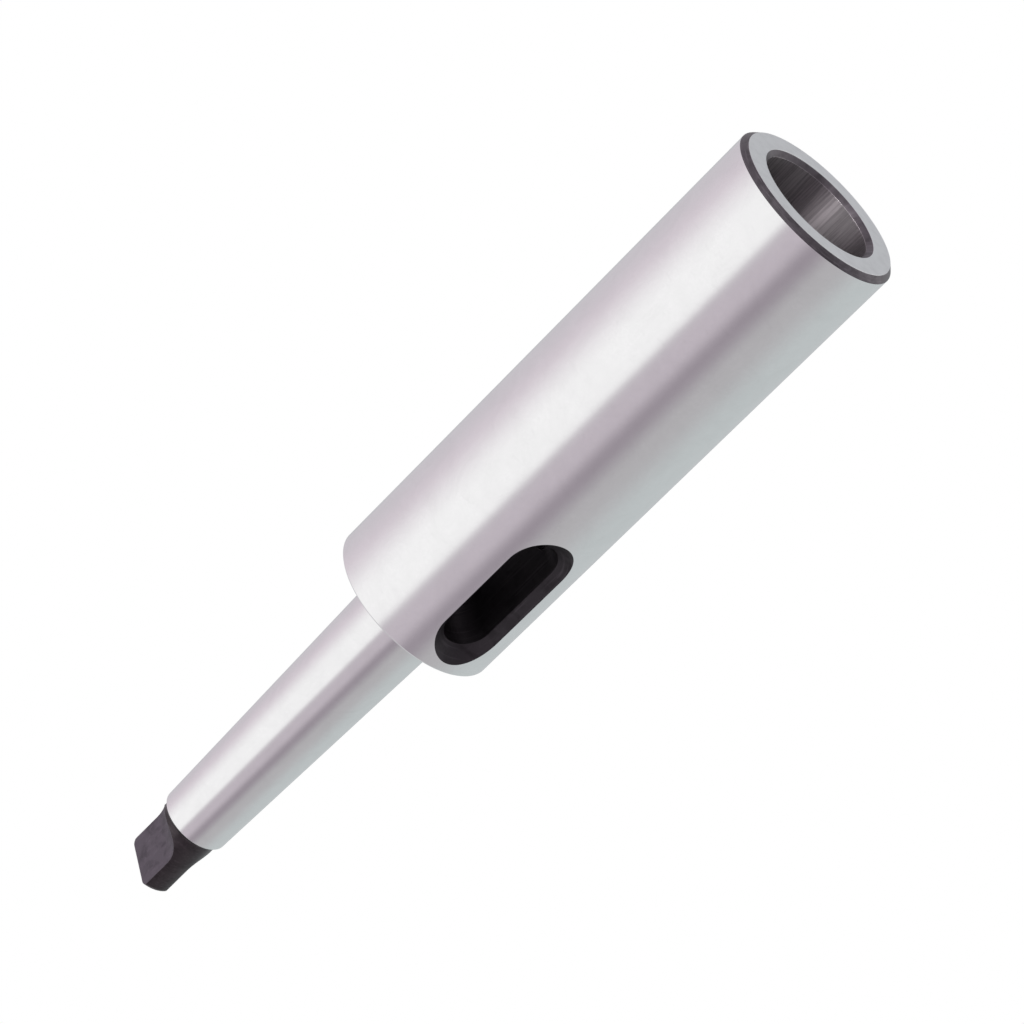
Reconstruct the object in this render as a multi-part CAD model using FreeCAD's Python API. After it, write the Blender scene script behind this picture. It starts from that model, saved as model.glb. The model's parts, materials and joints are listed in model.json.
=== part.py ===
import FreeCAD, Part
import math
import os

# Morse taper extension sleeve, hardened and ground in one piece.
# A No. 3 taper socket is in the body, and a No. 2 taper shank with a driving tang is
# on its other end. A drift slot crosses the body where the tang of the held tool ends.
#
# Frame: the origin is the middle of the mouth face, where the sleeve stands. Z runs
# along the axis from the mouth to the tang. The drift slot goes through along Y, and
# the flats of the tang face along X. Lengths are in millimetres, angles in degrees.

# Body: the plain ground cylinder
body_diameter = 36.0
mouth_chamfer = 1.1
shoulder_chamfer = 0.3

# Socket: Morse taper No. 3, with its gauge diameter on the mouth face
socket_gauge_diameter = 23.825
socket_taper_ratio = 19.922
mouth_countersink_width = 0.94
socket_taper_to_slot = 6.5
socket_drill_past_slot_start = 5.3
drill_point_angle = 118.0

# Drift slot
slot_start = 78.75
slot_length = 27.75
slot_width = 9.7
slot_countersink_depth = 2.95
slot_countersink_angle = 90.0
slot_countersink_to_shoulder = 2.3

# Shank: Morse taper No. 2
shank_gauge_diameter = 17.780
shank_taper_ratio = 20.020
shoulder_to_gauge = 9.0
gauge_to_tang_end = 75.0
taper_end_to_tang_end = 15.8
shank_bevel_length = 1.0
shank_root_radius = 0.8

# Tang
tang_diameter = 13.0
tang_thickness = 5.1
tang_flat_length = 7.7
tang_cutter_radius = 7.0
tang_end_radius = 1.2

# Centre hole in the end of the tang
centre_drill_diameter = 1.6
centre_drill_depth = 3.5
centre_countersink_diameter = 3.35
centre_countersink_angle = 60.0

# How far a cutting shape reaches past the surface that it opens
overrun = 2.0

# Values that follow from those above
body_radius = body_diameter / 2
slot_end = slot_start + slot_length
slot_countersink_slope = math.tan(math.radians(slot_countersink_angle / 2))
slot_countersink_spread = slot_countersink_depth * slot_countersink_slope
body_length = slot_end + slot_countersink_spread + slot_countersink_to_shoulder
gauge_height = body_length + shoulder_to_gauge
total_length = gauge_height + gauge_to_tang_end
taper_end_height = total_length - taper_end_to_tang_end
tang_radius = tang_diameter / 2

X_AXIS = FreeCAD.Vector(1, 0, 0)
Y_AXIS = FreeCAD.Vector(0, 1, 0)
Z_AXIS = FreeCAD.Vector(0, 0, 1)
ORIGIN = FreeCAD.Vector(0, 0, 0)


def turned(outline):
    """A solid of revolution round Z from a closed outline of (radius, height) points."""
    points = [FreeCAD.Vector(radius, 0, height) for radius, height in outline]
    wire = Part.makePolygon(points + points[:1])
    return Part.Face(wire).revolve(ORIGIN, Z_AXIS, 360)


def ring_edge(solid, radius, height):
    """The circular edge round Z with this radius and height."""
    for edge in solid.Edges:
        curve = edge.Curve
        if not isinstance(curve, Part.Circle):
            continue
        if abs(curve.Radius - radius) < 1e-6 and abs(curve.Center.z - height) < 1e-6:
            return edge
    raise ValueError(f"no edge of radius {radius} at height {height}")


def shank_radius(height):
    """Radius of the No. 2 taper at a height."""
    return (shank_gauge_diameter - (height - gauge_height) / shank_taper_ratio) / 2


def socket_radius(height):
    """Radius of the No. 3 taper at a height above the mouth face."""
    return (socket_gauge_diameter - height / socket_taper_ratio) / 2


def blank():
    """The turned outside: body, taper shank and the round end that the tang is milled from."""
    root = shank_radius(body_length)
    outline = [
        (0, 0),
        (body_radius - mouth_chamfer, 0),
        (body_radius, mouth_chamfer),
        (body_radius, body_length - shoulder_chamfer),
        (body_radius - shoulder_chamfer, body_length),
        (root, body_length),
        (shank_radius(taper_end_height), taper_end_height),
        (tang_radius, taper_end_height + shank_bevel_length),
        (tang_radius, total_length),
        (0, total_length),
    ]
    solid = turned(outline)
    solid = solid.makeFillet(shank_root_radius, [ring_edge(solid, root, body_length)])
    return solid.makeFillet(tang_end_radius, [ring_edge(solid, tang_radius, total_length)])


def socket():
    """The space inside the socket: countersink, taper, drilled end and drill point."""
    lip = socket_radius(0) + mouth_countersink_width
    countersink_end = mouth_countersink_width / (1 - 1 / socket_taper_ratio / 2)
    taper_end = slot_start - socket_taper_to_slot
    drill = socket_radius(taper_end)
    drill_end = slot_start + socket_drill_past_slot_start
    point = drill / math.tan(math.radians(drill_point_angle / 2))
    return turned([
        (0, -overrun),
        (lip + overrun, -overrun),
        (socket_radius(countersink_end), countersink_end),
        (drill, taper_end),
        (drill, drill_end),
        (0, drill_end + point),
    ])


def slot_countersink():
    """The round-ended opening of the slot at the +Y side, wider towards the outside."""
    half = slot_width / 2
    depth = body_radius - slot_countersink_depth
    height = slot_countersink_depth + overrun
    wide = half + height * slot_countersink_slope
    start = slot_start + half
    end = slot_end - half
    corners = [
        FreeCAD.Vector(-half, depth, start),
        FreeCAD.Vector(half, depth, start),
        FreeCAD.Vector(wide, depth + height, start),
        FreeCAD.Vector(-wide, depth + height, start),
    ]
    sides = Part.Face(Part.makePolygon(corners + corners[:1])).extrude(Z_AXIS * (end - start))
    ends = [
        Part.makeCone(half, wide, height, FreeCAD.Vector(0, depth, level), Y_AXIS)
        for level in (start, end)
    ]
    return sides.fuse(ends).removeSplitter()


def drift_slot():
    """The slot right through the body along Y, with a broad countersink at each side."""
    half = slot_width / 2
    reach = body_radius + overrun
    start = slot_start + half
    end = slot_end - half
    middle = Part.makeBox(slot_width, 2 * reach, end - start, FreeCAD.Vector(-half, -reach, start))
    ends = [
        Part.makeCylinder(half, 2 * reach, FreeCAD.Vector(0, -reach, level), Y_AXIS)
        for level in (start, end)
    ]
    front = slot_countersink()
    back = front.mirror(ORIGIN, Y_AXIS)
    return middle.fuse(ends + [front, back])


def tang_cut():
    """What the milling cutter takes off the +X side: the flat and its round run-out."""
    flat = tang_thickness / 2
    run_out = total_length - tang_flat_length
    outer = flat + tang_cutter_radius
    corner = math.radians(45)
    start = FreeCAD.Vector(flat, 0, run_out)
    middle = FreeCAD.Vector(
        outer - tang_cutter_radius * math.cos(corner), 0, run_out - tang_cutter_radius * math.sin(corner)
    )
    end = FreeCAD.Vector(outer, 0, run_out - tang_cutter_radius)
    top_outer = FreeCAD.Vector(outer, 0, total_length + overrun)
    top_flat = FreeCAD.Vector(flat, 0, total_length + overrun)
    edges = [
        Part.Arc(start, middle, end).toShape(),
        Part.makeLine(end, top_outer),
        Part.makeLine(top_outer, top_flat),
        Part.makeLine(top_flat, start),
    ]
    reach = tang_radius + overrun
    face = Part.Face(Part.Wire(edges))
    face.translate(Y_AXIS * -reach)
    return face.extrude(Y_AXIS * (2 * reach))


def centre_hole():
    """The centre in the tang's end that the shank was ground on."""
    drill = centre_drill_diameter / 2
    mouth = centre_countersink_diameter / 2
    slope = math.tan(math.radians(centre_countersink_angle / 2))
    countersink = (mouth - drill) / slope
    point = drill / math.tan(math.radians(drill_point_angle / 2))
    return turned([
        (0, total_length + overrun),
        (mouth + overrun * slope, total_length + overrun),
        (drill, total_length - countersink),
        (drill, total_length - centre_drill_depth),
        (0, total_length - centre_drill_depth - point),
    ])


def sleeve():
    """The finished sleeve: the turned blank with every cut taken out."""
    flat = tang_cut()
    cuts = [socket(), drift_slot(), flat, flat.mirror(ORIGIN, X_AXIS), centre_hole()]
    return blank().cut(cuts).removeSplitter()


os.makedirs("parts", exist_ok=True)
sleeve().exportStep("parts/taper_sleeve.step")
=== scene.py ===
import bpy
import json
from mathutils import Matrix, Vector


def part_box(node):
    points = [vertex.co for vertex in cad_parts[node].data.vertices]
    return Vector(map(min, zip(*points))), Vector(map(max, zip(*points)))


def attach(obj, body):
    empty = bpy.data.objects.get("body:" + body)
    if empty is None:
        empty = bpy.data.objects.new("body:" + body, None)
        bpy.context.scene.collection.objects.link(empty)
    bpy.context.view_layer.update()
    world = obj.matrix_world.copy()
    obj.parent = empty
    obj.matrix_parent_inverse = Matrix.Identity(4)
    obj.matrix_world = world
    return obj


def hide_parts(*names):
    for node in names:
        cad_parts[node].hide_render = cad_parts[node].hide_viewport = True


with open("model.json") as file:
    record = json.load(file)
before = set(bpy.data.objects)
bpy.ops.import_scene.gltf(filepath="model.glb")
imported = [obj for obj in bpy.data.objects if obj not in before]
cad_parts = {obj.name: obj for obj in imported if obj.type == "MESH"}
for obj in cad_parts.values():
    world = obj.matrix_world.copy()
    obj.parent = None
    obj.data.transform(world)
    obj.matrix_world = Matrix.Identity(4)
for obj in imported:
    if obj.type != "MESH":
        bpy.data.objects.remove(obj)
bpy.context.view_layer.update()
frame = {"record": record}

import json
import math

import bmesh
import bpy
from bpy.props import FloatProperty, FloatVectorProperty, IntProperty, PointerProperty
from mathutils import Quaternion, Vector

bl_info = {
    "name": "Taper sleeve",
    "version": (1, 0, 0),
    "blender": (4, 5, 0),
    "location": "3D View > Sidebar > Taper sleeve",
    "description": "Makes a ground and blackened Morse taper extension sleeve, and its stage",
    "category": "Object",
}

CAD_NODE = "taper_sleeve"
MOUNTS = {mount["name"]: mount for mount in frame["record"]["mounts"]}
SLEEVE_LOW, SLEEVE_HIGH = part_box(CAD_NODE)


def mounted(name, size):
    """A size of one of the sleeve's mounts, in metres."""
    return MOUNTS[name]["dims"][size] / 1000


def height_of(name):
    """How far a mount's place is above the mouth face."""
    return MOUNTS[name]["pos_m"][2]


def length(name, description, default):
    return FloatProperty(
        name=name, description=description, default=default, min=0.0, unit="LENGTH", subtype="DISTANCE"
    )


def degrees(name, description, default):
    return FloatProperty(
        name=name, description=description, default=math.radians(default), unit="ROTATION", subtype="ANGLE"
    )


def share(name, description, default):
    return FloatProperty(name=name, description=description, default=default, min=0.0, max=1.0, subtype="FACTOR")


def colour(name, description, default):
    return FloatVectorProperty(
        name=name, description=description, default=default, size=3, min=0.0, soft_max=1.0, subtype="COLOR"
    )


class SleeveBodySizes(bpy.types.PropertyGroup):
    """The ground body and the socket in it"""

    body_diameter: length("Body diameter", "Across the ground body", SLEEVE_HIGH.x - SLEEVE_LOW.x)
    body_length: length("Body length", "Mouth face to shoulder", 0.11175)
    mouth_chamfer: length("Mouth chamfer", "45 degree chamfer round the outside of the mouth", 0.0011)
    shoulder_chamfer: length("Shoulder chamfer", "45 degree chamfer round the shoulder", 0.0003)
    socket_diameter: length(
        "Socket diameter", "Taper of the socket at the mouth face", 2 * mounted("socket_taper", "r_mm")
    )
    socket_ratio: FloatProperty(
        name="Socket taper", description="Length in which the socket narrows by one unit", default=19.922, min=1.0
    )
    socket_length: length(
        "Socket length", "Mouth face to the end of the ground taper", mounted("socket_taper", "length_mm")
    )
    drilled_end: length("Drilled end", "Mouth face to where the drill point starts", 0.08405)
    drill_point: degrees("Drill point", "Included angle of the drill point", 118.0)
    countersink_width: length("Countersink width", "45 degree countersink round the socket's mouth", 0.00094)


class SleeveSlotSizes(bpy.types.PropertyGroup):
    """The drift slot through the body"""

    middle: length("Middle height", "Mouth face to the middle of the slot", height_of("drift_slot"))
    length: length("Slot length", "From round end to round end", mounted("drift_slot", "slot_length_mm"))
    width: length("Slot width", "Across the slot", 2 * mounted("drift_slot", "hole_r_mm"))
    countersink_depth: length("Countersink depth", "Depth of the slot's countersink below the body", 0.00295)


class SleeveShankSizes(bpy.types.PropertyGroup):
    """The taper shank and its tang"""

    total_length: length("Total length", "Mouth face to the end of the tang", SLEEVE_HIGH.z - SLEEVE_LOW.z)
    gauge_height: length("Gauge height", "Mouth face to the shank's gauge plane", height_of("shank_taper"))
    gauge_diameter: length("Gauge diameter", "Shank at its gauge plane", 2 * mounted("shank_taper", "r_mm"))
    ratio: FloatProperty(
        name="Shank taper", description="Length in which the shank narrows by one unit", default=20.020, min=1.0
    )
    root_radius: length("Root radius", "Fillet between the shoulder and the shank", 0.0008)
    taper_end: length("Taper end", "Mouth face to the end of the ground taper", 0.17995)
    bevel_length: length("Bevel length", "Bevel between the taper and the tang", 0.0010)
    tang_diameter: length("Tang diameter", "Across the round of the tang", 2 * mounted("tang", "r_mm"))
    tang_thickness: length("Tang thickness", "Between the flats of the tang", 0.0051)
    tang_flat: length("Flat length", "Tang end to the end of its flats", mounted("tang", "length_mm"))
    cutter_radius: length("Cutter radius", "Run-out that the milling cutter leaves", 0.0070)
    tang_end_radius: length("Tang end radius", "Round of the tang's end", 0.0012)
    centre_drill: length("Centre drill", "Diameter of the centre hole", 0.0016)
    centre_depth: length("Centre depth", "Depth of the centre hole", 0.0035)
    centre_countersink: length("Centre countersink", "Diameter of the centre hole's 60 degree mouth", 0.00335)


class SleeveFinish(bpy.types.PropertyGroup):
    """Colours and roughness of the ground and blackened surfaces"""

    sides: IntProperty(name="Sides", description="Divisions round the axis", default=480, min=24)
    edge_break: length("Edge break", "Round on the turned edges", 0.00012)
    steel: colour("Ground steel", "Colour of the ground body and shank", (0.86, 0.855, 0.86))
    steel_roughness: share("Ground roughness", "Roughness of the ground body and shank", 0.17)
    face: colour("Faced steel", "Colour of the mouth face", (0.79, 0.785, 0.80))
    face_roughness: share("Faced roughness", "Roughness of the mouth face", 0.30)
    # Painted shade: the socket's steel is kept far darker than the outside steel, for the shade in the bore
    socket: colour("Socket steel", "Colour of the ground socket", (0.42, 0.395, 0.41))
    socket_roughness: share("Socket roughness", "Roughness of the ground socket", 0.38)
    black: colour("Blackened chamfer", "Black oxide on the turned chamfers", (0.115, 0.103, 0.115))
    # Painted shade: the slot gets a much darker copy of the black oxide, for the shade inside it
    black_slot_with_painted_shade: colour("Blackened slot", "Black oxide in the drift slot", (0.044, 0.039, 0.044))
    # Painted shade: the round of the tang gets a darker copy of the black oxide than the flats and chamfers
    black_round_with_painted_shade: colour("Blackened round", "Black oxide on the round of the tang", (0.060, 0.050, 0.055))
    black_flat: colour("Blackened flat", "Black oxide on the milled tang", (0.125, 0.108, 0.130))
    black_roughness: share("Blackened roughness", "Roughness of the black oxide", 0.42)


class SleeveStage(bpy.types.PropertyGroup):
    """Studio walls, floor and camera"""

    azimuth: degrees("Azimuth", "Bearing of the camera round the sleeve", 41.4)
    elevation: degrees("Elevation", "Camera above the horizon", -24.703)
    roll: degrees("Roll", "Camera turned about its own line of sight", -134.63)
    distance: length("Distance", "Camera to the point it aims at", 0.64908)
    aim_height: length("Aim height", "Height of the point that the camera aims at", 0.084355)
    aim_aside: FloatProperty(
        name="Aim aside", description="Aim point beside the axis", default=-0.00054, unit="LENGTH", subtype="DISTANCE"
    )
    lens: FloatProperty(name="Lens", description="Focal length in millimetres", default=122.84, min=1.0)
    rear: colour("Rear wall", "Grey wall opposite the camera", (0.555, 0.57, 0.585))
    fill: colour("Fill wall", "Cool grey wall on the camera's left", (0.565, 0.605, 0.61))
    lilac: colour("Lilac wall", "Warm grey wall on the camera's right", (0.64, 0.605, 0.645))
    glow: colour("Glow", "Lit part of the lilac wall beside the key", (0.735, 0.665, 0.72))
    key: colour("Key softbox", "Large white softbox", (1.03, 1.03, 1.03))
    band: colour("Half-tone card", "Grey card beside the key", (0.58, 0.525, 0.575))
    flag: colour("Dark flag", "Dark card that draws the shade line", (0.345, 0.305, 0.345))
    shade: colour("Shaded wall", "Fill wall in the flag's shade", (0.50, 0.49, 0.505))
    ceiling: colour("Ceiling", "Pale ceiling of the studio", (0.68, 0.68, 0.69))


# Finishes, in the order of the sleeve's material slots
GROUND, FACED, SOCKET, BLACK_TURNED, BLACK_ROUND, BLACK_SLOT, BLACK_TANG = range(7)


# Cards of the studio: colour, then start, end and the softness of both, in degrees of bearing from the camera
WALLS = (
    ("fill", -160, 20, 30, 30),
    ("lilac", 20, 160, 30, 30),
    ("glow", 8, 118, 16, 50),
    ("key", 8, 80, 16, 60),
    ("shade", -90, 8, 50, 16),
    ("band", -30, 8, 24, 16),
    ("flag", -47, -23, 28, 20),
)
# Cards that are hung below the horizon only, for views from above
LOW_CARDS = (
    ("key", -156, -108, 20, 24),
    ("flag", -98, -80, 14, 24),
)
# Lamps that shine into the socket: bearing from the camera, width, energy, and bearing of the lit wall
SOCKET_LAMPS = {
    "socket_lamp": (31, 0.012, 0.00019, 189),
    "socket_side_lamp": (140, 0.007, 0.00009, 221),
}
LAMP_OUT, LAMP_DROP, LAMP_DEPTH, LAMP_SPREAD = 0.008, 0.006, 0.003, 50
AIM_OUT, AIM_HEIGHT = 0.012, 0.007
FLOOR_SIZE, FLOOR_GAP = 6.0, 0.00005


# ---------------------------------------------------------------- shape


def broken_corner(before, corner, after, radius, steps):
    """The points that round one corner of an outline."""
    inward = (before - corner).normalized()
    outward = (after - corner).normalized()
    half = inward.angle(outward) / 2
    reach = radius / math.tan(half)
    centre = corner + (inward + outward).normalized() * (radius / math.sin(half))
    start = corner + inward * reach - centre
    end = corner + outward * reach - centre
    swept = start.angle(end)
    points = []
    for step in range(steps + 1):
        along = step / steps
        first = math.sin((1 - along) * swept) / math.sin(swept)
        second = math.sin(along * swept) / math.sin(swept)
        points.append(centre + start * first + end * second)
    return points


def rounded_outline(corners):
    """Outline points with a finish each.

    The corners are (radius, height, round, steps, finish of the round, finish after it).
    """
    places = [Vector((row[0], row[1])) for row in corners]
    outline = []
    for index, (_, _, radius, steps, edge, after) in enumerate(corners):
        if radius:
            points = broken_corner(places[index - 1], places[index], places[index + 1], radius, steps)
            outline += [(point, edge) for point in points[:-1]]
            outline.append((points[-1], after))
        else:
            outline.append((places[index], after))
    return outline


def turned_mesh(name, outline, sides):
    """A mesh turned round Z from an outline that starts and ends on the axis."""
    mesh = bmesh.new()
    rings = []
    for place, _ in outline:
        if place.x < 1e-9:
            rings.append([mesh.verts.new((0.0, 0.0, place.y))])
            continue
        ring = []
        for side in range(sides):
            turn = 2 * math.pi * side / sides
            ring.append(mesh.verts.new((place.x * math.cos(turn), place.x * math.sin(turn), place.y)))
        rings.append(ring)
    for index in range(len(rings) - 1):
        lower, upper, finish = rings[index], rings[index + 1], outline[index][1]
        for side in range(sides):
            after = (side + 1) % sides
            if len(lower) == 1:
                corners = [lower[0], upper[after], upper[side]]
            elif len(upper) == 1:
                corners = [lower[side], lower[after], upper[0]]
            else:
                corners = [lower[side], lower[after], upper[after], upper[side]]
            face = mesh.faces.new(corners)
            face.material_index = finish
    return finished_mesh(name, mesh)


def stretched_mesh(name, loops, finish):
    """A closed mesh from matching loops of points, capped at both ends."""
    mesh = bmesh.new()
    rings = [[mesh.verts.new(point) for point in loop] for loop in loops]
    count = len(rings[0])
    for lower, upper in zip(rings, rings[1:]):
        for index in range(count):
            after = (index + 1) % count
            mesh.faces.new([lower[index], lower[after], upper[after], upper[index]])
    mesh.faces.new(rings[0])
    mesh.faces.new(rings[-1])
    for face in mesh.faces:
        face.material_index = finish
    return finished_mesh(name, mesh)


def finished_mesh(name, mesh):
    """A bmesh made into a mesh with its faces turned outwards."""
    bmesh.ops.recalc_face_normals(mesh, faces=mesh.faces)
    data = bpy.data.meshes.new(name)
    mesh.to_mesh(data)
    mesh.free()
    return data


def sleeve_outline(body, shank, finish):
    """Half the section of the sleeve before the milling: socket, body, shank, tang round and centre hole."""
    body_radius = body.body_diameter / 2
    socket_rate = 1 / body.socket_ratio / 2
    mouth = body.socket_diameter / 2
    sink = body.countersink_width / (1 - socket_rate)
    drill = mouth - body.socket_length * socket_rate
    point = drill / math.tan(body.drill_point / 2)
    shank_rate = 1 / shank.ratio / 2
    gauge = shank.gauge_diameter / 2
    root = gauge + (shank.gauge_height - body.body_length) * shank_rate
    taper_end = gauge - (shank.taper_end - shank.gauge_height) * shank_rate
    tang = shank.tang_diameter / 2
    top = shank.total_length
    hole = shank.centre_drill / 2
    hole_mouth = shank.centre_countersink / 2
    hole_sink = (hole_mouth - hole) / math.tan(math.radians(30))
    hole_point = hole / math.tan(body.drill_point / 2)
    edge = finish.edge_break
    return rounded_outline([
        (0.0, body.drilled_end + point, 0, 0, 0, BLACK_TURNED),
        (drill, body.drilled_end, 0, 0, 0, BLACK_TURNED),
        (drill, body.socket_length, 0, 0, 0, SOCKET),
        (mouth - sink * socket_rate, sink, edge, 3, SOCKET, BLACK_TURNED),
        (mouth + body.countersink_width, 0.0, edge, 3, FACED, FACED),
        (body_radius - body.mouth_chamfer, 0.0, edge, 3, FACED, BLACK_TURNED),
        (body_radius, body.mouth_chamfer, edge, 3, BLACK_TURNED, GROUND),
        (body_radius, body.body_length - body.shoulder_chamfer, edge, 3, GROUND, GROUND),
        (body_radius - body.shoulder_chamfer, body.body_length, edge, 3, GROUND, FACED),
        (root, body.body_length, shank.root_radius, 8, GROUND, GROUND),
        (taper_end, shank.taper_end, edge, 3, GROUND, BLACK_ROUND),
        (tang, shank.taper_end + shank.bevel_length, edge, 3, BLACK_ROUND, BLACK_ROUND),
        (tang, top, shank.tang_end_radius, 12, BLACK_ROUND, BLACK_ROUND),
        (hole_mouth, top, edge, 3, BLACK_ROUND, FACED),
        (hole, top - hole_sink, 0, 0, 0, BLACK_TURNED),
        (hole, top - shank.centre_depth, 0, 0, 0, BLACK_TURNED),
        (0.0, top - shank.centre_depth - hole_point, 0, 0, 0, BLACK_TURNED),
    ])


def slot_loop(slot, half, depth, steps=64):
    """One loop of the slot's round-ended outline, this wide and this far from the axis."""
    straight = (slot.length - slot.width) / 2
    loop = []
    for end, start in ((1, 0.0), (-1, math.pi)):
        for step in range(steps + 1):
            turn = start + math.pi * step / steps
            loop.append(Vector((
                half * math.cos(turn), depth, slot.middle + end * straight + half * math.sin(turn)
            )))
    return loop


def slot_cutter(body, slot):
    """What the end mill and the countersink take out: the slot right through, wider at both sides."""
    radius = body.body_diameter / 2
    inner = radius - slot.countersink_depth
    outer = radius + slot.countersink_depth
    half = slot.width / 2
    wide = half + outer - inner
    loops = [
        slot_loop(slot, wide, -outer),
        slot_loop(slot, half, -inner),
        slot_loop(slot, half, inner),
        slot_loop(slot, wide, outer),
    ]
    return stretched_mesh("slot_cutter", loops, BLACK_SLOT)


def tang_cutter(shank, side, steps=32):
    """What the milling cutter takes off one side of the tang: the flat and its round run-out."""
    flat = shank.tang_thickness / 2
    run_out = shank.total_length - shank.tang_flat
    above = shank.total_length + shank.bevel_length
    reach = shank.tang_diameter
    outer = flat + shank.cutter_radius
    profile = [(outer, above), (flat, above)]
    for step in range(steps + 1):
        turn = math.pi / 2 * step / steps
        profile.append((
            outer - shank.cutter_radius * math.cos(turn), run_out - shank.cutter_radius * math.sin(turn)
        ))
    loops = [[Vector((side * x, y, z)) for x, z in profile] for y in (-reach, reach)]
    return stretched_mesh("tang_cutter", loops, BLACK_TANG)


def milled(turned, cutters, materials):
    """The turned mesh with every cutter taken out."""
    work = bpy.data.objects.new("turned_blank", turned)
    tools = [bpy.data.objects.new(cutter.name, cutter) for cutter in cutters]
    for item in [work, *tools]:
        bpy.context.scene.collection.objects.link(item)
        for material in materials:
            item.data.materials.append(material)
    for tool in tools:
        cut = work.modifiers.new(tool.name, "BOOLEAN")
        cut.operation = "DIFFERENCE"
        cut.solver = "EXACT"
        cut.material_mode = "INDEX"
        cut.object = tool
    depsgraph = bpy.context.evaluated_depsgraph_get()
    result = bpy.data.meshes.new_from_object(work.evaluated_get(depsgraph))
    for item in [work, *tools]:
        data = item.data
        bpy.data.objects.remove(item)
        bpy.data.meshes.remove(data)
    return result


def smooth_shaded(piece, sharp_angle):
    """Smooth shading with sharp milled edges, its normals held flat on the large faces."""
    piece.data.shade_smooth()
    piece.data.set_sharp_from_angle(angle=sharp_angle)
    weigh = piece.modifiers.new("weighted_normals", "WEIGHTED_NORMAL")
    weigh.keep_sharp = True
    weigh.weight = 100
    depsgraph = bpy.context.evaluated_depsgraph_get()
    plain = piece.data
    shaded = bpy.data.meshes.new_from_object(piece.evaluated_get(depsgraph))
    piece.modifiers.clear()
    piece.data = shaded
    bpy.data.meshes.remove(plain)
    shaded.name = piece.name


# ---------------------------------------------------------------- finishes


class Nodes:
    """Short ways to add the nodes of one material or of the world."""

    def __init__(self, owner):
        owner.use_nodes = True
        self.tree = owner.node_tree
        self.tree.nodes.clear()

    def add(self, kind, **settings):
        made = self.tree.nodes.new(kind)
        for key, value in settings.items():
            setattr(made, key, value)
        return made

    def feed(self, socket, value):
        if isinstance(value, bpy.types.NodeSocket):
            self.tree.links.new(value, socket)
        elif value is not None:
            socket.default_value = value

    def maths(self, operation, first, second=None, third=None, clamp=False):
        made = self.add("ShaderNodeMath", operation=operation, use_clamp=clamp)
        for socket, value in zip(made.inputs, (first, second, third)):
            self.feed(socket, value)
        return made.outputs[0]

    def vector(self, operation, first, second=None):
        made = self.add("ShaderNodeVectorMath", operation=operation)
        for socket, value in zip(made.inputs, (first, second)):
            self.feed(socket, value)
        return made.outputs["Value"] if operation in ("LENGTH", "DOT_PRODUCT") else made.outputs[0]

    def joined(self, x, y, z):
        made = self.add("ShaderNodeCombineXYZ")
        for socket, value in zip(made.inputs, (x, y, z)):
            self.feed(socket, value)
        return made.outputs[0]

    def split(self, vector):
        made = self.add("ShaderNodeSeparateXYZ")
        self.feed(made.inputs[0], vector)
        return made.outputs

    def noise(self, vector, scale, detail=3.0, rough=0.5, distortion=0.0):
        made = self.add("ShaderNodeTexNoise", noise_dimensions="3D")
        self.feed(made.inputs["Vector"], vector)
        made.inputs["Scale"].default_value = scale
        made.inputs["Detail"].default_value = detail
        made.inputs["Roughness"].default_value = rough
        made.inputs["Distortion"].default_value = distortion
        return made.outputs[0]

    def ranged(self, value, low, high, to_low=0.0, to_high=1.0, smooth=True):
        made = self.add("ShaderNodeMapRange", interpolation_type="SMOOTHSTEP" if smooth else "LINEAR")
        for socket, given in zip(made.inputs, (value, low, high, to_low, to_high)):
            self.feed(socket, given)
        return made.outputs[0]

    def mixed(self, share_of, first, second):
        made = self.add("ShaderNodeMix", data_type="RGBA")
        for index, given in ((0, share_of), (6, first), (7, second)):
            if isinstance(given, (tuple, list)) and len(given) == 3:
                given = (*given, 1.0)
            self.feed(made.inputs[index], given)
        return made.outputs[2]

    def bump(self, height, distance, strength=1.0, normal=None):
        made = self.add("ShaderNodeBump")
        made.inputs["Strength"].default_value = strength
        made.inputs["Distance"].default_value = distance
        self.feed(made.inputs["Height"], height)
        self.feed(made.inputs["Normal"], normal)
        return made.outputs[0]


class Finish(Nodes):
    """One metal finish of the sleeve, with coordinates that follow the machining."""

    def __init__(self, name):
        self.material = bpy.data.materials.new(name)
        super().__init__(self.material)
        self.place = self.add("ShaderNodeTexCoord").outputs["Object"]
        self.x, self.y, self.z = self.split(self.place)
        flat = self.joined(self.x, self.y, 0.0)
        self.radius = self.vector("LENGTH", flat)
        self.bearing = self.vector("NORMALIZE", flat)

    def lay(self, along, fineness, sweep):
        """Coordinates stretched round the axis, this many times finer along the lay's cross direction."""
        east, north, _ = self.split(self.bearing)
        return self.joined(
            self.maths("MULTIPLY", east, sweep), self.maths("MULTIPLY", north, sweep),
            self.maths("MULTIPLY", along, fineness),
        )

    def metal(self, base, roughness, normal, metallic=1.0, anisotropy=0.0, grain=0.0):
        shader = self.add("ShaderNodeBsdfPrincipled")
        if isinstance(base, (tuple, list)):
            base = (*base, 1.0)
        self.feed(shader.inputs["Base Color"], base)
        self.feed(shader.inputs["Roughness"], roughness)
        self.feed(shader.inputs["Normal"], normal)
        shader.inputs["Metallic"].default_value = metallic
        shader.inputs["Anisotropic"].default_value = anisotropy
        shader.inputs["Anisotropic Rotation"].default_value = grain
        if anisotropy:
            tangent = self.add("ShaderNodeTangent", direction_type="RADIAL", axis="Z")
            self.feed(shader.inputs["Tangent"], tangent.outputs[0])
        output = self.add("ShaderNodeOutputMaterial")
        self.feed(output.inputs["Surface"], shader.outputs[0])
        return self.material


def tuned(rgb, factor):
    """A colour made lighter or darker."""
    return tuple(channel * factor for channel in rgb)


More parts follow.
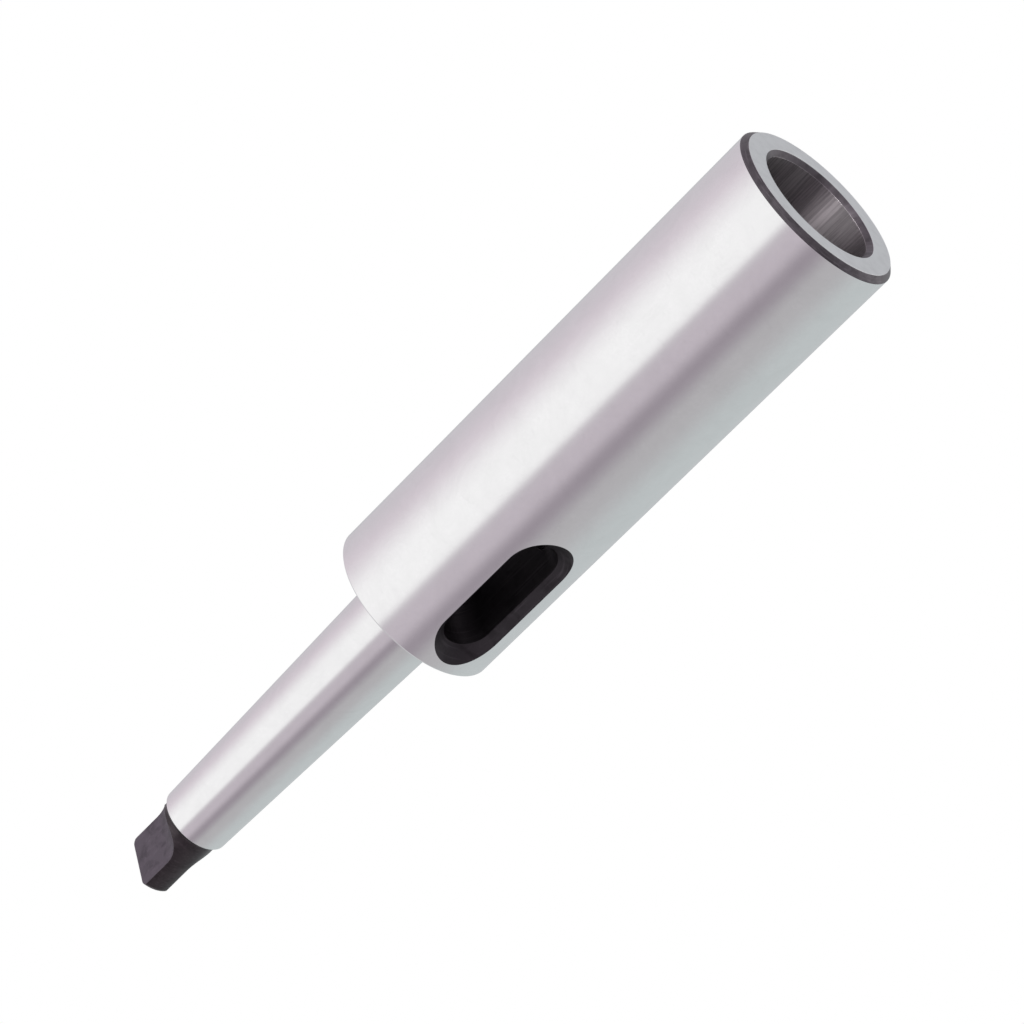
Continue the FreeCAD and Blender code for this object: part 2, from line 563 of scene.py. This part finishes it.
def ground_outside(finish):
    """Cylindrically ground steel: fine rings round the axis, faint smudges, hairlines and a few scratches."""
    steel = Finish("ground_outside")
    rings = steel.noise(steel.lay(steel.z, 2600.0, 1.6), 1.0, detail=4.0, rough=0.65)
    smudge = steel.noise(steel.place, 130.0, detail=6.0, rough=0.62, distortion=1.2)
    cloud = steel.noise(steel.place, 34.0, detail=3.0, distortion=0.5)
    grain = steel.noise(steel.place, 1500.0, detail=3.0, rough=0.6)
    hair = steel.ranged(steel.noise(steel.lay(steel.z, 900.0, 5.0), 1.0, detail=2.0), 0.66, 0.74)
    scratch = steel.noise(steel.lay(steel.z, 36.0, 70.0), 1.0, detail=1.0, distortion=0.9)
    scratch = steel.maths("ABSOLUTE", steel.maths("SUBTRACT", scratch, 0.5))
    thin = steel.ranged(scratch, 0.0, 0.010, 1.0, 0.0)
    scratch = steel.maths("MULTIPLY", thin, steel.ranged(cloud, 0.52, 0.64))
    smudged = steel.ranged(smudge, 0.38, 0.66)
    tone = steel.mixed(smudged, tuned(finish.steel, 1.008), tuned(finish.steel, 0.96))
    tone = steel.mixed(steel.ranged(grain, 0.35, 0.70), tone, tuned(finish.steel, 0.985))
    tone = steel.mixed(steel.maths("MULTIPLY", hair, 0.25), tone, tuned(finish.steel, 0.90))
    tone = steel.mixed(steel.maths("MULTIPLY", scratch, 0.35), tone, tuned(finish.steel, 1.10))
    rough = steel.maths("ADD", finish.steel_roughness - 0.04, steel.maths("MULTIPLY", cloud, 0.05))
    rough = steel.maths("ADD", rough, steel.maths("MULTIPLY", smudge, 0.03))
    normal = steel.bump(rings, 0.0000012)
    return steel.metal(tone, rough, normal, anisotropy=0.35)


def faced_steel(finish):
    """Ground end faces, with fine rings about the axis."""
    steel = Finish("faced_steel")
    rings = steel.noise(steel.lay(steel.radius, 3200.0, 2.0), 1.0, detail=4.0, rough=0.6)
    mottle = steel.noise(steel.place, 420.0, detail=4.0, rough=0.6)
    mottled = steel.ranged(mottle, 0.35, 0.75)
    tone = steel.mixed(mottled, tuned(finish.face, 1.02), tuned(finish.face, 0.93))
    rough = steel.maths("ADD", finish.face_roughness - 0.05, steel.maths("MULTIPLY", mottle, 0.10))
    normal = steel.bump(rings, 0.0000022)
    return steel.metal(tone, rough, normal)


def ground_socket_with_painted_shade(finish):
    """The internally ground taper: duller than the outside, its steel darkened as painted shade in the bore, with a
    grain that draws light along the socket.
    """
    steel = Finish("ground_socket_with_painted_shade")
    rings = steel.noise(steel.lay(steel.z, 2400.0, 2.0), 1.0, detail=4.0, rough=0.6)
    streak = steel.noise(steel.lay(steel.z, 70.0, 26.0), 1.0, detail=5.0, rough=0.68, distortion=0.3)
    streaked = steel.ranged(streak, 0.34, 0.66)
    tone = steel.mixed(streaked, tuned(finish.socket, 1.1), tuned(finish.socket, 0.62))
    rough = steel.maths("ADD", finish.socket_roughness - 0.05, steel.maths("MULTIPLY", streak, 0.10))
    normal = steel.bump(rings, 0.0000022)
    return steel.metal(tone, rough, normal, anisotropy=0.8, grain=0.25)


def blackened(name, base, roughness, edge_break, lines, marked):
    """Black oxide over tool marks, mottled, with a painted highlight that makes the edges lighter."""
    black = Finish(name)
    marks = black.noise(lines(black), 1.0, detail=4.0, rough=0.6)
    mottle = black.noise(black.place, 900.0, detail=5.0, rough=0.6, distortion=0.4)
    patch = black.noise(black.place, 330.0, detail=2.0, rough=0.5, distortion=0.6)
    soft = black.add("ShaderNodeBevel", samples=6)
    soft.inputs["Radius"].default_value = edge_break
    plain = black.add("ShaderNodeNewGeometry").outputs["Normal"]
    # Mask of the painted edge highlight: where the rounded-edge normal turns away from the face's own normal
    edge = black.ranged(black.vector("DOT_PRODUCT", soft.outputs[0], plain), 0.90, 0.995, 1.0, 0.0)
    tone = black.mixed(black.ranged(patch, 0.42, 0.68), base, tuned(base, 0.70))
    tone = black.mixed(black.ranged(mottle, 0.50, 0.80), tone, tuned(base, 1.2))
    lined = black.maths("MULTIPLY", black.ranged(marks, 0.50, 0.72), marked)
    tone = black.mixed(lined, tone, tuned(base, 1.7))
    # Painted highlight: the colour is made lighter along the edges
    tone = black.mixed(black.maths("MULTIPLY", edge, 0.5), tone, tuned(base, 1.7))
    rough = black.maths("ADD", roughness - 0.06, black.maths("MULTIPLY", mottle, 0.12))
    normal = black.bump(marks, 0.000006 * marked, normal=soft.outputs[0])
    normal = black.bump(mottle, 0.000003, normal=normal)
    return black.metal(tone, rough, normal, metallic=0.9)


def turned_lines(black):
    """Tool marks round the axis."""
    return black.lay(black.maths("ADD", black.radius, black.z), 2200.0, 4.0)


def slot_lines(black):
    """Tool marks at one depth all round the slot."""
    return black.joined(
        black.maths("MULTIPLY", black.x, 90.0), black.maths("MULTIPLY", black.y, 2600.0),
        black.maths("MULTIPLY", black.z, 90.0),
    )


def tang_lines(black):
    """Marks of the cutter along the tang."""
    return black.joined(
        black.maths("MULTIPLY", black.x, 500.0), black.maths("MULTIPLY", black.y, 700.0),
        black.maths("MULTIPLY", black.z, 300.0),
    )


def sleeve_finishes(finish):
    """The finishes in the order of the material slots."""
    dull, edge = finish.black_roughness, finish.edge_break
    return [
        ground_outside(finish),
        faced_steel(finish),
        ground_socket_with_painted_shade(finish),
        blackened("blackened_turning", tuple(finish.black), dull, edge, turned_lines, 0.8),
        blackened("blackened_round_with_painted_shade", tuple(finish.black_round_with_painted_shade), dull - 0.08, edge, turned_lines, 0.5),
        blackened("blackened_slot_with_painted_shade", tuple(finish.black_slot_with_painted_shade), dull + 0.06, edge, slot_lines, 1.0),
        blackened("blackened_tang", tuple(finish.black_flat), dull + 0.03, edge, tang_lines, 0.25),
    ]


# ---------------------------------------------------------------- stage


def studio_walls(stage):
    """A round studio of walls, softboxes and flags with a ceiling, and plain white behind."""
    world = bpy.data.worlds.new("studio")
    bpy.context.scene.world = world
    nodes = Nodes(world)
    east, north, up = nodes.split(nodes.add("ShaderNodeTexCoord").outputs["Generated"])
    bearing = nodes.maths("ARCTAN2", east, nodes.maths("MULTIPLY", north, -1.0))
    bearing = nodes.maths("SUBTRACT", bearing, stage.azimuth)
    bearing = nodes.maths("WRAP", bearing, math.pi, -math.pi)

    def card(below, rgb, start, end, soft_start, soft_end):
        low = math.radians(start), math.radians(soft_start) / 2
        high = math.radians(end), math.radians(soft_end) / 2
        rise = nodes.ranged(bearing, low[0] - low[1], low[0] + low[1])
        fall = nodes.ranged(bearing, high[0] - high[1], high[0] + high[1], 1.0, 0.0)
        return nodes.mixed(nodes.maths("MULTIPLY", rise, fall), below, tuple(rgb))

    tone = tuple(stage.rear)
    for wall, *edges in WALLS:
        tone = card(tone, getattr(stage, wall), *edges)
    behind = tone
    for wall, *edges in LOW_CARDS:
        behind = card(behind, getattr(stage, wall), *edges)
    tone = nodes.mixed(nodes.ranged(up, -0.16, 0.04, 1.0, 0.0), tone, behind)
    tone = nodes.mixed(nodes.ranged(up, 0.72, 0.92), tone, tuple(stage.ceiling))
    turns = nodes.joined(nodes.maths("MULTIPLY", bearing, 14.0), 0.0, 0.0)
    ripple = nodes.noise(turns, 1.0, detail=3.0, rough=0.7)
    light = nodes.add("ShaderNodeBackground")
    nodes.feed(light.inputs["Color"], tone)
    nodes.feed(light.inputs["Strength"], nodes.ranged(ripple, 0.3, 0.7, 0.965, 1.035, smooth=False))
    white = nodes.add("ShaderNodeBackground")
    white.inputs["Color"].default_value = (1.0, 1.0, 1.0, 1.0)
    seen = nodes.add("ShaderNodeLightPath").outputs["Is Camera Ray"]
    mix = nodes.add("ShaderNodeMixShader")
    for socket, value in zip(mix.inputs, (seen, light.outputs[0], white.outputs[0])):
        nodes.feed(socket, value)
    output = nodes.add("ShaderNodeOutputWorld")
    nodes.feed(output.inputs["Surface"], mix.outputs[0])


def floor_finish():
    """Pale matt floor that is seen from above only."""
    material = bpy.data.materials.new("pale_floor")
    nodes = Nodes(material)
    matt = nodes.add("ShaderNodeBsdfDiffuse")
    matt.inputs["Color"].default_value = (0.86, 0.86, 0.86, 1.0)
    clear = nodes.add("ShaderNodeBsdfTransparent")
    below = nodes.add("ShaderNodeNewGeometry").outputs["Backfacing"]
    mix = nodes.add("ShaderNodeMixShader")
    for socket, value in zip(mix.inputs, (below, matt.outputs[0], clear.outputs[0])):
        nodes.feed(socket, value)
    output = nodes.add("ShaderNodeOutputMaterial")
    nodes.feed(output.inputs["Surface"], mix.outputs[0])
    return material


def add_floor():
    """A wide floor under the mouth face."""
    mesh = bmesh.new()
    bmesh.ops.create_grid(mesh, x_segments=1, y_segments=1, size=FLOOR_SIZE / 2)
    data = bpy.data.meshes.new("floor")
    mesh.to_mesh(data)
    mesh.free()
    data.materials.append(floor_finish())
    floor = bpy.data.objects.new("floor", data)
    bpy.context.scene.collection.objects.link(floor)
    floor.location.z = SLEEVE_LOW.z - FLOOR_GAP
    floor.visible_diffuse = False
    floor.visible_glossy = False
    floor.visible_transmission = False
    floor.visible_shadow = False


def add_top_light():
    """A soft light overhead that lights the floor and draws the sleeve's shadow."""
    data = bpy.data.lights.new("top_light", "SUN")
    data.energy = 1.25
    data.angle = math.radians(50)
    light = bpy.data.objects.new("top_light", data)
    light.rotation_mode = "QUATERNION"
    light.rotation_quaternion = Vector((-0.25, 0.15, -1.0)).to_track_quat("-Z", "Y")
    light.visible_glossy = False
    bpy.context.scene.collection.objects.link(light)


def add_socket_light(stage, name, bearing, width, energy, aim_bearing):
    """A small lamp just below the mouth that shines up into the socket."""

    def beside(turn, out, height):
        turn = stage.azimuth + math.radians(turn)
        return Vector((out * math.sin(turn), -out * math.cos(turn), SLEEVE_LOW.z + height))

    data = bpy.data.lights.new(name, "AREA")
    data.shape = "RECTANGLE"
    data.size = width
    data.size_y = LAMP_DEPTH
    data.spread = math.radians(LAMP_SPREAD)
    data.energy = energy
    data.color = (1.0, 0.94, 0.97)
    lamp = bpy.data.objects.new(name, data)
    lamp.location = beside(bearing, LAMP_OUT, -LAMP_DROP)
    lamp.rotation_mode = "QUATERNION"
    aim = beside(aim_bearing, AIM_OUT, AIM_HEIGHT)
    lamp.rotation_quaternion = (aim - lamp.location).to_track_quat("-Z", "Y")
    lamp.visible_camera = False
    bpy.context.scene.collection.objects.link(lamp)


def add_camera(stage):
    """The camera, below the level of the mouth and rolled so that the mouth points up to the right."""
    data = bpy.data.cameras.new("camera")
    data.lens = stage.lens
    data.sensor_width = 36.0
    data.clip_start = 0.01
    data.clip_end = 20.0
    camera = bpy.data.objects.new("camera", data)
    bearing, rise = stage.azimuth, stage.elevation
    back = Vector((
        math.sin(bearing) * math.cos(rise), -math.cos(bearing) * math.cos(rise), math.sin(rise)
    ))
    aside = Vector((math.cos(bearing), math.sin(bearing), 0.0)) * stage.aim_aside
    aim = Vector((0.0, 0.0, stage.aim_height)) + aside
    camera.rotation_mode = "QUATERNION"
    camera.location = aim + back * stage.distance
    camera.rotation_quaternion = (-back).to_track_quat("-Z", "Y") @ Quaternion((0.0, 0.0, 1.0), stage.roll)
    bpy.context.scene.collection.objects.link(camera)
    bpy.context.scene.camera = camera


# ---------------------------------------------------------------- operators and panel


class TAPERSLEEVE_OT_sleeve(bpy.types.Operator):
    """Make the sleeve: turned blank, drift slot, tang and every finish"""

    bl_idname = "taper_sleeve.sleeve"
    bl_label = "Sleeve"

    def execute(self, context):
        scene = context.scene
        body, slot, shank, finish = (
            scene.sleeve_body, scene.sleeve_slot, scene.sleeve_shank, scene.sleeve_finish
        )
        materials = sleeve_finishes(finish)
        blank = turned_mesh("turned_blank", sleeve_outline(body, shank, finish), finish.sides)
        cutters = [slot_cutter(body, slot), tang_cutter(shank, 1), tang_cutter(shank, -1)]
        piece = bpy.data.objects.new("sleeve", milled(blank, cutters, materials))
        scene.collection.objects.link(piece)
        smooth_shaded(piece, math.radians(30))
        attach(piece, "root")
        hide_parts(CAD_NODE)
        return {"FINISHED"}


class TAPERSLEEVE_OT_stage(bpy.types.Operator):
    """Set the stage: studio walls, floor, top light and camera"""

    bl_idname = "taper_sleeve.stage"
    bl_label = "Stage"

    def execute(self, context):
        stage = context.scene.sleeve_stage
        studio_walls(stage)
        add_floor()
        add_top_light()
        for name, lamp in SOCKET_LAMPS.items():
            add_socket_light(stage, name, *lamp)
        add_camera(stage)
        context.scene.view_settings.view_transform = "Standard"
        return {"FINISHED"}


class TAPERSLEEVE_PT_panel(bpy.types.Panel):
    """The sleeve's sizes, finishes and stage"""

    bl_idname = "TAPERSLEEVE_PT_panel"
    bl_label = "Taper sleeve"
    bl_space_type = "VIEW_3D"
    bl_region_type = "UI"
    bl_category = "Taper sleeve"

    def draw(self, context):
        layout = self.layout
        for group, operator in GROUPS:
            box = layout.box()
            values = getattr(context.scene, group)
            for key in values.__annotations__:
                box.prop(values, key)
            if operator:
                box.operator(operator)


GROUPS = (
    ("sleeve_body", None),
    ("sleeve_slot", None),
    ("sleeve_shank", None),
    ("sleeve_finish", "taper_sleeve.sleeve"),
    ("sleeve_stage", "taper_sleeve.stage"),
)
SETTINGS = {
    "sleeve_body": SleeveBodySizes,
    "sleeve_slot": SleeveSlotSizes,
    "sleeve_shank": SleeveShankSizes,
    "sleeve_finish": SleeveFinish,
    "sleeve_stage": SleeveStage,
}
CLASSES = (*SETTINGS.values(), TAPERSLEEVE_OT_sleeve, TAPERSLEEVE_OT_stage, TAPERSLEEVE_PT_panel)


def register():
    for each in CLASSES:
        bpy.utils.register_class(each)
    for name, group in SETTINGS.items():
        setattr(bpy.types.Scene, name, PointerProperty(type=group))


def unregister():
    for name in SETTINGS:
        delattr(bpy.types.Scene, name)
    for each in reversed(CLASSES):
        bpy.utils.unregister_class(each)


def main():
    register()
    bpy.ops.taper_sleeve.sleeve()
    bpy.ops.taper_sleeve.stage()


if __name__ == "__main__":
    main()
